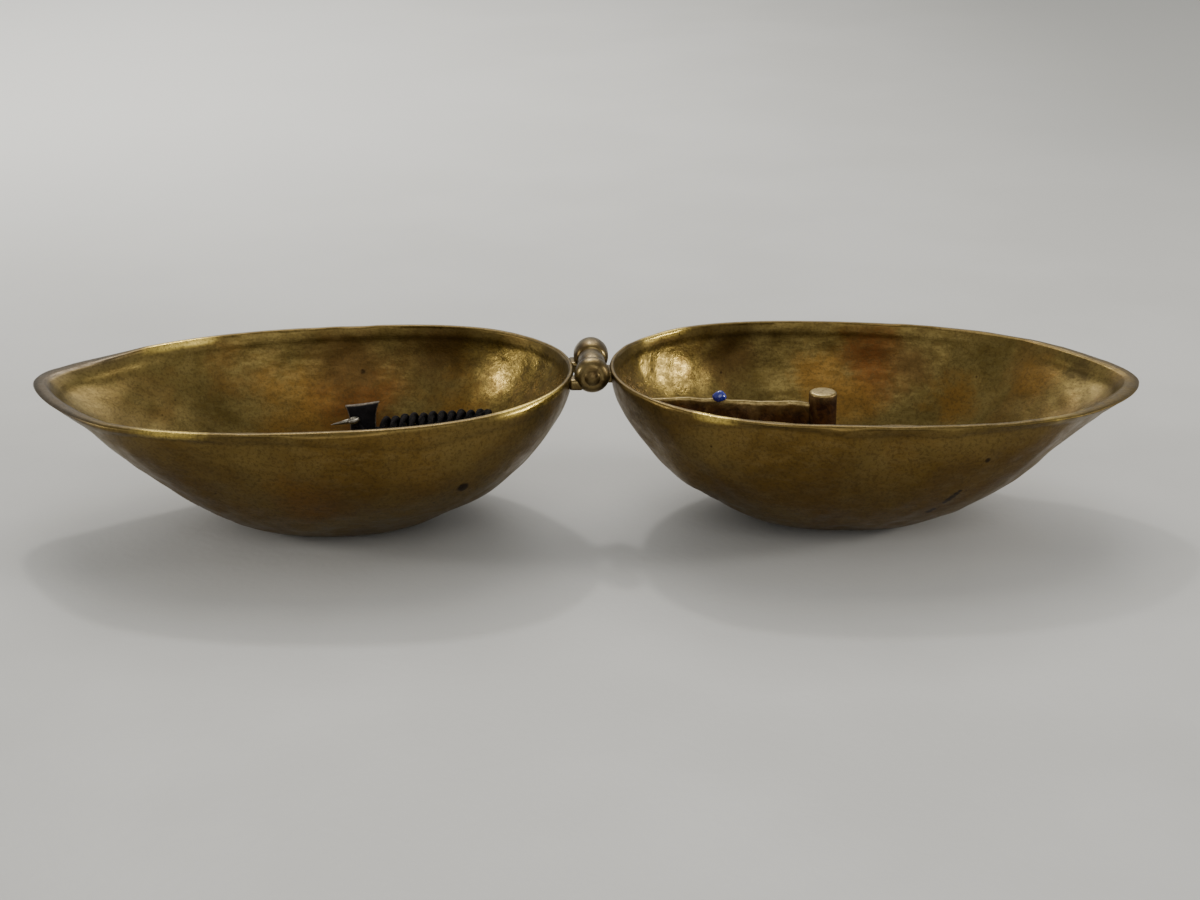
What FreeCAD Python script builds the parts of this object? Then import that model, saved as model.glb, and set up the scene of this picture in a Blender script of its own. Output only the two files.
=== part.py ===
import FreeCAD, Part
import math
import os

# A hand-held brass weighing scale stowed in its hinged brass case.
# Units are millimetres. The case lies open: the left half towards -X, the right half towards +X.
# The origin is the middle of the footprint on the table, +Z is up and -Y is the near side.

# Case
half_length = 100.0        # one half, hinge end to tip, measured along the rim
half_width = 31.0          # widest half breadth of the rim
full_depth = 30.0          # depth of the round body before its foot is flattened
wall = 1.3                 # sheet thickness
rim_height = 30.0          # height of the rim plane at the hinge
droop_deg = 1.6            # each rim falls this much towards its tip when the case lies open
widest_share = 0.44        # where the widest section lies, as a share of the length
hinge_end_power = 2.6      # fullness of the blunt hinge end in plan
tip_power = 2.4            # fullness of the long end in plan
tip_sharpness = 0.56       # above 0.5 the tip comes to a soft point
hinge_sweep = 79.0         # how fast the hinge end draws in below the rim
hinge_sweep_power = 1.7
tip_sweep = 68.0           # how fast the tip end draws in below the rim
level_angles = [0, 7, 15, 25, 36, 48, 60, 72, 82]

# Hinge
hinge_gap = 3.4            # hinge axis to the end of each half
axis_height = rim_height + 0.1
barrel_radius = 3.1
knuckle_round = 1.5        # the free ends of the barrel are rounded like a ball
pin_radius = 1.3
pin_head_radius = 1.55
pin_head_height = 0.7
running_clearance = 0.06
knuckle_end = 7.4          # half length of the whole barrel
knuckle_split = 3.0        # the outer knuckles start here
middle_half = 2.85         # half length of the middle knuckle
leaf_thickness = 0.9
leaf_top = 28.0
leaf_bottom = 26.0

# Post and partition in the right half
post_x = 43.7
post_radius = 2.65
post_top = 24.5
post_chamfer = 0.45
partition_thickness = 1.1
partition_top_at_post = 22.3
partition_rise = 1.6       # the top edge climbs this much towards the hinge
bead_x = 24.1
bead_size = (2.9, 2.0, 2.3)
bead_sink = 0.5

# Weights in the near compartment
weight_centre = (38.0, -4.6)
weight_sizes = [("weight_largest", 3.6, 3.2), ("weight_large", 3.1, 2.8),
                ("weight_small", 2.6, 2.4), ("weight_smallest", 2.1, 2.0)]
weight_seat = 2.55
weight_chamfer = 0.3

# Pans in the left half
pan_x = -47.5
pan_radius = 17.5
pan_depth = 5.5
pan_sheet = 0.7
lower_pan_base = 1.6
pan_gap = 0.2
cord_hole_radius = 0.6
cord_hole_inset = 1.5
cord_hole_count = 3

# Balance, lying flat in the left half above the pans
balance_x = -48.0
beam_y = -2.0
beam_z = 15.6
beam_half_length = 30.0
beam_centre_half = 2.4     # half breadth at the pivot
beam_end_half = 1.5
beam_waist_half = 1.0
beam_half_thickness = 1.0
end_half_thickness = 0.6
pivot_radius = 0.8
pivot_clearance = 0.05
cheek_gap = 0.4
cheek_thickness = 0.6
cheek_half_width = 2.6
cheek_back = 1.6           # the cheeks reach this far behind the pivot
fork_length = 13.5
yoke_length = 2.0
eye_radius = 1.7
eye_wire = 0.6
pointer_length = 10.4
pointer_half_base = 0.9
pointer_half_tip = 0.25
pointer_half_thickness = 0.4
ring_radius = 1.3
ring_wire = 0.35
ring_hole_radius = 0.65
ring_hole_inset = 1.6

# Suspension cord hank, finger tab and hook
hank_left = (-38.8, 15.0, 12.7, 3.2)      # x, y, z and radius at the thick end
hank_right = (-20.9, 14.4, 15.0, 1.9)
tab_middle = (-44.5, 15.6)
tab_half_top = 3.35
tab_half_waist = 2.5
tab_half_bottom = 3.1
tab_top = 17.6
tab_bottom = 9.5
tab_thickness = 1.2
hook_tip = (-50.5, 12.6, 14.8)
hook_eye = (-46.1, 13.2, 15.8)
hook_wire = 0.45
hook_eye_radius = 0.85

V = FreeCAD.Vector
X_AXIS = V(1, 0, 0)
Y_AXIS = V(0, 1, 0)
FAR = 200.0


def box(low, high):
    """A block from its lowest corner to its highest corner."""
    size = [high[i] - low[i] for i in range(3)]
    return Part.makeBox(size[0], size[1], size[2], V(*low))


def mirrored(shape):
    """The same shape on the other side of the hinge."""
    return shape.mirror(V(0, 0, 0), X_AXIS)


def outline_points(first, last, breadth):
    """Points along one side of a level, from the hinge end to the tip."""
    centre = first + widest_share * (last - first)
    points = []
    for degrees in (0, 12, 26, 42, 60, 76):
        share = math.cos(math.radians(degrees))
        points.append((centre - (centre - first) * share,
                       breadth * (1 - share ** hinge_end_power) ** 0.5))
    for degrees in (0, 18, 34, 48, 60, 71, 81, 90):
        share = math.sin(math.radians(degrees))
        points.append((centre + (last - centre) * share,
                       breadth * max(0.0, 1 - share ** tip_power) ** tip_sharpness))
    return points


def level_wire(angle, inset):
    """The closed plan outline of the body at one level, with its sheet inset taken off."""
    half_turn = math.sin(math.radians(angle) / 2)
    first = hinge_gap + hinge_sweep * half_turn ** hinge_sweep_power + inset
    last = hinge_gap + half_length - tip_sweep * half_turn - inset
    breadth = (half_width - inset) * math.cos(math.radians(angle))
    level = -(full_depth - inset) * math.sin(math.radians(angle))
    points = outline_points(first, last, breadth)
    edges = []
    for side in (-1, 1):
        curve = Part.BSplineCurve()
        curve.interpolate(Points=[V(x, side * y, level) for x, y in points],
                          Parameters=[float(i) for i in range(len(points))])
        edges.append(curve.toShape())
    return Part.Wire([edges[0], edges[1].reversed()])


def round_body(inset):
    """The boat-shaped body of the right half, tilted as it lies on the table."""
    body = Part.makeLoft([level_wire(angle, inset) for angle in level_angles], True, False)
    body.rotate(V(0, 0, 0), Y_AXIS, droop_deg)
    body.translate(V(0, 0, rim_height))
    return body


def above(height):
    """Everything above a height."""
    return box((-FAR, -FAR, height), (FAR, FAR, FAR))


def axis_cylinder(radius, start, end):
    """A round bar on the hinge axis between two depths."""
    return Part.makeCylinder(radius, end - start, V(0, start, axis_height), Y_AXIS)


def knuckle(start, end, bore, round_start, round_end):
    """One knuckle of the barrel; a free end is rounded over."""
    bar = axis_cylinder(barrel_radius, start, end)
    rounded = []
    for edge in bar.Edges:
        middle = edge.BoundBox
        if middle.YMax - middle.YMin > 0.01:
            continue
        if (round_start and abs(middle.YMin - start) < 0.01) or (round_end and abs(middle.YMax - end) < 0.01):
            rounded.append(edge)
    if rounded:
        bar = bar.makeFillet(knuckle_round, rounded)
    return bar.cut(axis_cylinder(bore, start - 1, end + 1))


def leaf(body, lug_spans, knuckles):
    """A leaf soldered under the rim at the hinge end, with lugs that carry its knuckles."""
    grown = round_body(-leaf_thickness)
    plate = grown.common(box((0, -knuckle_end, leaf_bottom), (20, knuckle_end, leaf_top)))
    lugs = []
    for start, end in lug_spans:
        lug = box((0, start, leaf_top - 0.4), (hinge_gap + 1.6, end, axis_height - 0.6))
        lugs.append(lug.cut(axis_cylinder(pin_radius + running_clearance, start - 1, end + 1)))
    whole = plate.fuse(lugs + knuckles)
    return whole.cut(body).removeSplitter()


def hinge_pin():
    """The pin through the barrel, peened to a low dome at both ends."""
    pin = axis_cylinder(pin_radius, -knuckle_end, knuckle_end)
    for side in (-1, 1):
        base = side * knuckle_end
        ball_radius = (pin_head_radius ** 2 + pin_head_height ** 2) / (2 * pin_head_height)
        ball = Part.makeSphere(ball_radius, V(0, base + side * (pin_head_height - ball_radius), axis_height))
        reach = sorted((base, base + side * pin_head_height))
        pin = pin.fuse(ball.common(axis_cylinder(pin_head_radius + 1, reach[0], reach[1])))
    return pin.removeSplitter()


def post():
    """The round post that stands on the floor of the right half."""
    bar = Part.makeCylinder(post_radius, post_top - wall, V(post_x, 0, wall))
    top = [edge for edge in bar.Edges if edge.BoundBox.ZMin > post_top - 0.01]
    return bar.makeChamfer(post_chamfer, top)


def partition_top(x):
    """Height of the partition's top edge."""
    span = post_x - hinge_gap
    return partition_top_at_post + partition_rise * (post_x - x) / span


def partition(cavity, post_shape, bead):
    """A sheet on edge from the post to the hinge-end wall."""
    half = partition_thickness / 2
    corners = [V(0, -half, 0), V(post_x, -half, 0), V(post_x, -half, partition_top(post_x)),
               V(0, -half, partition_top(0))]
    sheet = Part.Face(Part.makePolygon(corners + corners[:1])).extrude(V(0, partition_thickness, 0))
    return sheet.common(cavity).cut(post_shape).cut(bead)


def blue_bead():
    """A small oval bead let into the partition's top edge."""
    ball = Part.makeSphere(0.5)
    scale = FreeCAD.Matrix()
    scale.scale(*bead_size)
    ball = ball.transformGeometry(scale)
    ball.translate(V(bead_x, 0, partition_top(bead_x) - bead_sink + bead_size[2] / 2))
    return ball


def disc_weights():
    """A pile of disc weights, the largest at the bottom."""
    pile = {}
    base = weight_seat
    for name, radius, height in weight_sizes:
        disc = Part.makeCylinder(radius, height, V(weight_centre[0], weight_centre[1], base))
        pile[name] = disc.makeChamfer(weight_chamfer, [e for e in disc.Edges if len(e.Vertexes) == 1])
        base += height
    return pile


def pan(base):
    """A shallow spun dish with cord holes round its rim."""
    ball_radius = (pan_radius ** 2 + pan_depth ** 2) / (2 * pan_depth)
    centre = V(pan_x, 0, base + ball_radius)
    outside = Part.makeSphere(ball_radius, centre)
    inside = Part.makeSphere(ball_radius - pan_sheet, centre)
    low = (pan_x - FAR, -FAR, base - 1)
    dish = outside.common(box(low, (pan_x + FAR, FAR, base + pan_depth))).cut(inside)
    hole_ring = pan_radius - cord_hole_inset
    for i in range(cord_hole_count):
        turn = math.radians(30 + i * 360 / cord_hole_count)
        place = V(pan_x + hole_ring * math.cos(turn), hole_ring * math.sin(turn), base)
        dish = dish.cut(Part.makeCylinder(cord_hole_radius, pan_depth + 1, place))
    return dish


def upright_slab(points, low, high):
    """A plan outline given as x and y, made into a slab between two heights."""
    corners = [V(x, y, low) for x, y in points]
    return Part.Face(Part.makePolygon(corners + corners[:1])).extrude(V(0, 0, high - low))


def beam():
    """The beam: a boss at the pivot and arms that thin towards pierced ends."""
    arm = beam_half_length
    side = []
    for x, half in ((-arm, beam_end_half), (-arm + 3.2, beam_waist_half), (-5.0, 1.7), (-2.4, beam_centre_half),
                    (2.4, beam_centre_half), (5.0, 1.7), (arm - 3.2, beam_waist_half), (arm, beam_end_half)):
        side.append((x, half))
    plan = [(balance_x + x, beam_y - half) for x, half in side]
    plan += [(balance_x + x, beam_y + half) for x, half in reversed(side)]
    bar = upright_slab(plan, beam_z - beam_half_thickness, beam_z + beam_half_thickness)
    profile = [(-arm - 1, end_half_thickness), (-arm + 5, end_half_thickness), (-6, beam_half_thickness),
               (6, beam_half_thickness), (arm - 5, end_half_thickness), (arm + 1, end_half_thickness)]
    corners = [V(balance_x + x, -FAR, beam_z - half) for x, half in profile]
    corners += [V(balance_x + x, -FAR, beam_z + half) for x, half in reversed(profile)]
    bar = bar.common(Part.Face(Part.makePolygon(corners + corners[:1])).extrude(V(0, 2 * FAR, 0)))
    for side_sign in (-1, 1):
        place = V(balance_x + side_sign * (arm - ring_hole_inset), beam_y, beam_z - 5)
        bar = bar.cut(Part.makeCylinder(ring_hole_radius, 10, place))
    return bar.cut(Part.makeCylinder(pivot_radius, 10, V(balance_x, beam_y, beam_z - 5)))


def pointer():
    """The needle that shows when the beam is level."""
    start = beam_y - beam_centre_half
    end = start - pointer_length
    plan = [(balance_x - pointer_half_base, start), (balance_x + pointer_half_base, start),
            (balance_x + pointer_half_tip, end), (balance_x - pointer_half_tip, end)]
    return upright_slab(plan, beam_z - pointer_half_thickness, beam_z + pointer_half_thickness)


def pivot_pin():
    """The short pin, fast in the beam, on which it swings between the cheeks."""
    half = beam_half_thickness + cheek_gap + cheek_thickness
    return Part.makeCylinder(pivot_radius, 2 * half, V(balance_x, beam_y, beam_z - half))


def fork():
    """Two cheeks joined by a yoke, with the eye that the suspension cord is tied to."""
    inner = beam_half_thickness + cheek_gap
    outer = inner + cheek_thickness
    yoke_y = beam_y - fork_length
    pieces = []
    for low, high in ((beam_z - outer, beam_z - inner), (beam_z + inner, beam_z + outer)):
        pieces.append(box((balance_x - cheek_half_width, yoke_y - yoke_length, low),
                          (balance_x + cheek_half_width, beam_y + cheek_back, high)))
    pieces.append(box((balance_x - cheek_half_width, yoke_y - yoke_length, beam_z - outer),
                      (balance_x + cheek_half_width, yoke_y, beam_z + outer)))
    eye_y = yoke_y - yoke_length - eye_radius + 0.2
    pieces.append(Part.makeTorus(eye_radius, eye_wire, V(balance_x, eye_y, beam_z)))
    whole = pieces[0].fuse(pieces[1:]).removeSplitter()
    bore = Part.makeCylinder(pivot_radius + pivot_clearance, 2 * outer + 2, V(balance_x, beam_y, beam_z - outer - 1))
    return whole.cut(bore)


def beam_end_rings():
    """Two small wire rings that hang the pan cords from the beam's ends."""
    rings = []
    for side in (-1, 1):
        place = V(balance_x + side * (beam_half_length - ring_hole_inset + ring_radius), beam_y, beam_z)
        rings.append(Part.makeTorus(ring_radius, ring_wire, place, Y_AXIS))
    return Part.makeCompound(rings)


def cord_hank():
    """The outer shape of the suspension cord, wrapped on itself and tapering to one end."""
    left = V(*hank_left[:3])
    right = V(*hank_right[:3])
    along = right - left
    left_ball = Part.makeSphere(hank_left[3], left)
    right_ball = Part.makeSphere(hank_right[3], right)
    taper = Part.makeCone(hank_left[3], hank_right[3], along.Length, left, along)
    return taper.fuse([left_ball, right_ball]).removeSplitter()


def finger_tab(hank):
    """The stiff leather tab held between finger and thumb; its sides are hollowed."""
    x, y = tab_middle
    half = tab_thickness / 2
    waist = (tab_top * 0.55 + tab_bottom * 0.45)
    left = Part.Arc(V(x - tab_half_top, y - half, tab_top), V(x - tab_half_waist, y - half, waist),
                    V(x - tab_half_bottom, y - half, tab_bottom)).toShape()
    right = Part.Arc(V(x + tab_half_bottom, y - half, tab_bottom), V(x + tab_half_waist, y - half, waist),
                     V(x + tab_half_top, y - half, tab_top)).toShape()
    bottom = Part.makeLine(V(x - tab_half_bottom, y - half, tab_bottom), V(x + tab_half_bottom, y - half, tab_bottom))
    top = Part.makeLine(V(x + tab_half_top, y - half, tab_top), V(x - tab_half_top, y - half, tab_top))
    return Part.Face(Part.Wire([left, bottom, right, top])).extrude(V(0, tab_thickness, 0)).cut(hank)


def suspension_hook():
    """A small steel hook, pointed at one end and bent to an eye at the other."""
    tip = V(*hook_tip)
    eye = V(*hook_eye)
    along = eye - tip
    start = eye - along.normalize() * (hook_eye_radius)
    shank = Part.makeCone(0.08, hook_wire, (start - tip).Length, tip, start - tip)
    ring = Part.makeTorus(hook_eye_radius, hook_wire, eye, Y_AXIS)
    return shank.fuse(ring).removeSplitter()


def build():
    """Every piece of the scale and its case, by name."""
    solid_right = round_body(0)
    cavity = round_body(wall).common(above(wall))
    outside_right = solid_right.common(above(0))
    right_half = outside_right.cut(cavity)

    outer_spans = [(-knuckle_end, -knuckle_split), (knuckle_split, knuckle_end)]
    left_knuckles = [knuckle(-knuckle_end, -knuckle_split, pin_radius, True, False),
                     knuckle(knuckle_split, knuckle_end, pin_radius, False, True)]
    middle_knuckle = knuckle(-middle_half, middle_half, pin_radius + running_clearance, False, False)

    post_shape = post()
    bead = blue_bead()
    hank = cord_hank()
    lower_base = lower_pan_base
    upper_base = lower_base + pan_sheet + pan_gap

    nodes = {
        "left_case_half": mirrored(right_half),
        "right_case_half": right_half,
        "left_hinge_leaf": mirrored(leaf(outside_right, outer_spans, left_knuckles)),
        "right_hinge_leaf": leaf(outside_right, [(-middle_half, middle_half)], [middle_knuckle]),
        "hinge_pin": hinge_pin(),
        "post": post_shape,
        "partition": partition(cavity, post_shape, bead),
        "blue_bead": bead,
        "lower_pan": pan(lower_base),
        "upper_pan": pan(upper_base),
        "beam": beam(),
        "pointer": pointer(),
        "pivot_pin": pivot_pin(),
        "fork": fork(),
        "beam_end_rings": beam_end_rings(),
        "suspension_cord": hank,
        "finger_tab": finger_tab(hank),
        "suspension_hook": suspension_hook(),
    }
    nodes.update(disc_weights())
    return nodes


os.makedirs("parts", exist_ok=True)
for node_name, shape in build().items():
    shape.exportStep(os.path.join("parts", node_name + ".step"))
    print(node_name, "valid" if shape.isValid() else "NOT VALID", "solids", len(shape.Solids),
          "volume", round(shape.Volume, 1), "box", [round(value, 2) for value in
          (shape.BoundBox.XMin, shape.BoundBox.YMin, shape.BoundBox.ZMin,
           shape.BoundBox.XMax, shape.BoundBox.YMax, shape.BoundBox.ZMax)])
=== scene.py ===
import math

import bmesh
import bpy
import numpy as np
from mathutils import Matrix, Vector


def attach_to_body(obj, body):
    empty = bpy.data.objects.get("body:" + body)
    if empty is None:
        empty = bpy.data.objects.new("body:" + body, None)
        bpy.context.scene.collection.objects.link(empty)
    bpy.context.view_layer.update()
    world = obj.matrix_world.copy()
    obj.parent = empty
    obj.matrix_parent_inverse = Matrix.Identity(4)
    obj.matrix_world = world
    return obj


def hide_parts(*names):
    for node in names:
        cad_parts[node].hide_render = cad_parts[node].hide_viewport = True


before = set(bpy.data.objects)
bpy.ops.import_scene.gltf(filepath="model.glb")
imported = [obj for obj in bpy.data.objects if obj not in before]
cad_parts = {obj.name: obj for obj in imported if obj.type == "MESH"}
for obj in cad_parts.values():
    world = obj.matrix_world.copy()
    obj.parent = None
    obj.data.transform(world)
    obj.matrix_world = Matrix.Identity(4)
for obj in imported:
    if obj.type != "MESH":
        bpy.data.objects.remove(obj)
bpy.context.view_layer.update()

MM = 0.001

# ---------------------------------------------------------------- driving sizes, in millimetres

# The two halves of the case, as in the CAD.
HALF_LENGTH = 100.0
HALF_WIDTH = 31.0
FULL_DEPTH = 30.0
WALL = 1.3
RIM_HEIGHT = 30.0
DROOP = math.radians(1.6)
HINGE_GAP = 3.4
WIDEST_SHARE = 0.44
HINGE_END_POWER = 2.6
TIP_POWER = 2.4
TIP_SHARPNESS = 0.56
HINGE_SWEEP = 79.0
HINGE_SWEEP_POWER = 1.7
TIP_SWEEP = 68.0

# How finely the case is drawn: points round each ring, rings in each wall, and the lowest ring's angle.
AROUND = 480
LEVELS = 66
LOWEST_RING = math.radians(89.0)

# What hammering, use and the turned lip add to the plain shape.
LIP_FLARE = 0.5
LIP_BAND = 2.2
LIP_ROUND = 0.38
LIP_FADE = 1.6
# The lip's section: shares of the way from its outer to its inner edge, and how rounded off it is there.
LIP_SECTION = ((0.0, 1.0), (0.08, 0.55), (0.22, 0.18), (0.42, 0.0), (0.75, 0.0), (0.93, 0.12), (1.0, 0.5))
BEAK_START = 0.84
BEAK_FLARE = 0.15
BEAK_PINCH = 0.4
BEAK_NARROWING = 0.12
BEAK_BEND_POWER = 2.2
BEAK_PINCH_DEPTH = 3.5
BEAK_UNDERCUT = 0.5
BEAK_UNDERCUT_DEPTH = 3.4
INNER_SHARPNESS = 0.02
INNER_NARROWING = 0.10
LIP_THINNING = 0.55
SEAT_DEPTH = 2.4
SEAT_STEP = 0.16
WARP_HEIGHT = 0.26
BUMP_HEIGHT = 0.09
HAMMER_HEIGHT = 0.045
FOOT_BLEND = 0.5

# How far each half's tip is bent: outward, back and up.
TIP_BEND = {-1: (1.2, 5.0, 0.0), 1: (-0.6, 0.6, -0.4)}
# How strongly each half's tip is painted with light and shade: paler inside, a grey sheen outside, darker on
# the lip.
TIP_LIGHT_AND_SHADE = {-1: 1.0, 1: 0.3}
# Dents in each half: middle of the dent, its radius, and how far in it goes.
DENTS = {
    -1: (
        ((-46.0, -31.0, 26.5), 8.0, -0.55),
        ((-60.0, -30.0, 25.5), 6.0, 0.4),
        ((-20.0, -26.0, 20.0), 7.0, 0.4),
        ((-91.0, -12.0, 22.0), 5.0, 0.5),
        ((-14.0, 12.0, 22.0), 6.0, 0.5),
    ),
    1: (
        ((53.0, -30.5, 23.0), 6.5, 0.95),
        ((43.5, -31.0, 25.5), 5.0, -0.4),
        ((62.0, -30.0, 24.5), 4.5, -0.45),
        ((16.0, -17.0, 12.0), 5.5, -0.8),
        ((11.0, -16.0, 21.0), 5.0, 0.6),
        ((86.0, -14.0, 22.5), 5.0, 0.5),
    ),
}

# Post, partition and bead in the right half.
POST_X = 43.7
POST_RADIUS = 2.65
POST_TOP = 24.5
SHEET = 1.1
SHEET_TOP_AT_POST = 22.3
SHEET_RISE = 1.6
BEAD_X = 24.1

# The hinge: each knuckle's outline as shares of its length and radii, and where it lies along the axis.
AXIS_HEIGHT = 30.1
NEAR_KNUCKLE = (
    (0.0, 1.9), (0.02, 2.2), (0.10, 2.75), (0.25, 3.15), (0.45, 3.35),
    (0.65, 3.25), (0.85, 2.9), (0.97, 2.5), (1.0, 2.3),
)
MIDDLE_KNUCKLE = ((0.0, 2.2), (0.02, 2.4), (0.08, 2.55), (0.5, 2.65), (0.92, 2.55), (0.98, 2.4), (1.0, 2.2))
FAR_KNUCKLE = (
    (0.0, 2.4), (0.03, 2.7), (0.12, 3.05), (0.35, 3.3), (0.60, 3.3),
    (0.80, 3.0), (0.92, 2.4), (0.98, 1.5), (1.0, 0.8),
)
NEAR_KNUCKLE_SPAN = (-7.5, -3.05)
MIDDLE_KNUCKLE_SPAN = (-2.95, 2.95)
FAR_KNUCKLE_SPAN = (3.05, 9.6)
KNUCKLE_STEPS = 48
# The straps that join the knuckles to the walls, and the half and the CAD leaf that each side belongs to.
NEAR_STRAP_SPAN = (-6.9, -3.3)
MIDDLE_STRAP_SPAN = (-2.7, 2.7)
FAR_STRAP_SPAN = (3.3, 7.6)
HINGE_SIDES = {-1: ("left_half", "hinge_brass"), 1: ("right_half", "hinge_brass")}
HINGE_NODES = {-1: "left_hinge_leaf", 1: "right_hinge_leaf"}
STRAP_FROM = 1.6
STRAP_TO = 4.3
STRAP_BOTTOM = 27.4
STRAP_TOP = 29.5
STRAP_ROUND = 0.6

# Suspension cord, tab and hook in the left half.
HANK_LEFT = Vector((-38.8, 15.0, 12.1))
HANK_RIGHT = Vector((-19.6, 14.4, 14.9))
HANK_TURNS = 11
HANK_POINTS_PER_TURN = 14
HANK_CORE_RADIUS = 1.10
HANK_SWELL = 1.25
HANK_UNEVENNESS = 0.12
CORD_RADIUS = 0.70
CORD_STEPS = 16
CORD_PLIES = 2
CORD_TWIST_PITCH = 2.4
TAB_MIDDLE = (-44.5, 15.6)
TAB_TOP = 17.6
TAB_BOTTOM = 9.5
TAB_THICKNESS = 1.1
TAB_TILT = 0.4
TAB_BOW = 0.35
TAB_HALF_TOP = 3.35
TAB_HALF_WAIST = 2.5
TAB_HALF_BOTTOM = 3.1
HOOK_TIP = Vector((-50.5, 12.6, 14.3))
HOOK_EYE = Vector((-46.1, 13.1, 15.0))
HOOK_EYE_RADIUS = 0.85
HOOK_WIRE = 0.45
HOOK_BEND_FROM = 200
HOOK_BEND = 340
HOOK_BEND_POINTS = 12

# Small rounded edges of the CAD pieces.
EDGE_ROUND = 0.12
FINE_EDGE_ROUND = 0.08

# Camera, in the frame of the object.
CAMERA_PLACE = Vector((-8.7, -391.3, 160.3))
CAMERA_PITCH = math.radians(20.6)
CAMERA_YAW = math.radians(1.5)
CAMERA_ROLL = math.radians(-0.13)
FOCAL_SHARE = 2200 / 1200
SENSOR_WIDTH = 36.0

# Studio.
FLOOR_SPAN = 5000.0
DAYLIGHT = (1.0, 0.98, 0.94)
SHADE_LIGHT = (0.97, 0.98, 1.0)
SURROUNDINGS = (0.80, 0.81, 0.80, 1)
SURROUNDINGS_STRENGTH = 0.62


# ---------------------------------------------------------------- small helpers

def ripple(points, wavelength, seed, waves=28):
    """A smooth random field of about unit height over points in millimetres."""
    draw = np.random.default_rng(seed)
    headings = draw.normal(size=(waves, 3))
    headings /= np.linalg.norm(headings, axis=1)[:, None]
    numbers = headings * (2 * math.pi / wavelength * draw.uniform(0.6, 1.4, waves))[:, None]
    phases = draw.uniform(0, 2 * math.pi, waves)
    return np.sin(points @ numbers.T + phases).sum(axis=1) / math.sqrt(waves / 2)


def new_mesh(name, points, faces, smooth=True):
    """An object from points in millimetres and a list of faces."""
    mesh = bpy.data.meshes.new(name)
    mesh.from_pydata([tuple(p) for p in np.asarray(points, float) * MM], [], faces)
    mesh.validate()
    mesh.shade_smooth() if smooth else mesh.shade_flat()
    piece = bpy.data.objects.new(name, mesh)
    bpy.context.scene.collection.objects.link(piece)
    return piece


def face_outward(piece):
    """Turns every face of a closed piece outward."""
    shell = bmesh.new()
    shell.from_mesh(piece.data)
    bmesh.ops.recalc_face_normals(shell, faces=shell.faces)
    shell.to_mesh(piece.data)
    shell.free()


def set_attribute(piece, name, values):
    """A number for each point of a piece, for its material to read."""
    layer = piece.data.attributes.new(name, "FLOAT", "POINT")
    layer.data.foreach_set("value", np.asarray(values, np.float32))


def grid_faces(rows, columns, closed):
    """Faces of a grid of points whose rows run round it."""
    faces = []
    last = columns if closed else columns - 1
    for row in range(rows - 1):
        for column in range(last):
            following = (column + 1) % columns
            faces.append((row * columns + column, row * columns + following,
                          (row + 1) * columns + following, (row + 1) * columns + column))
    return faces


def attach(piece, body, slot, material, *nodes):
    """Puts a piece on its body, with its finish and the CAD nodes it stands for."""
    piece.data.materials.append(material)
    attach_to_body(piece, body)
    if nodes:
        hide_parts(*nodes)
    return piece


# ---------------------------------------------------------------- material graph

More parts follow.
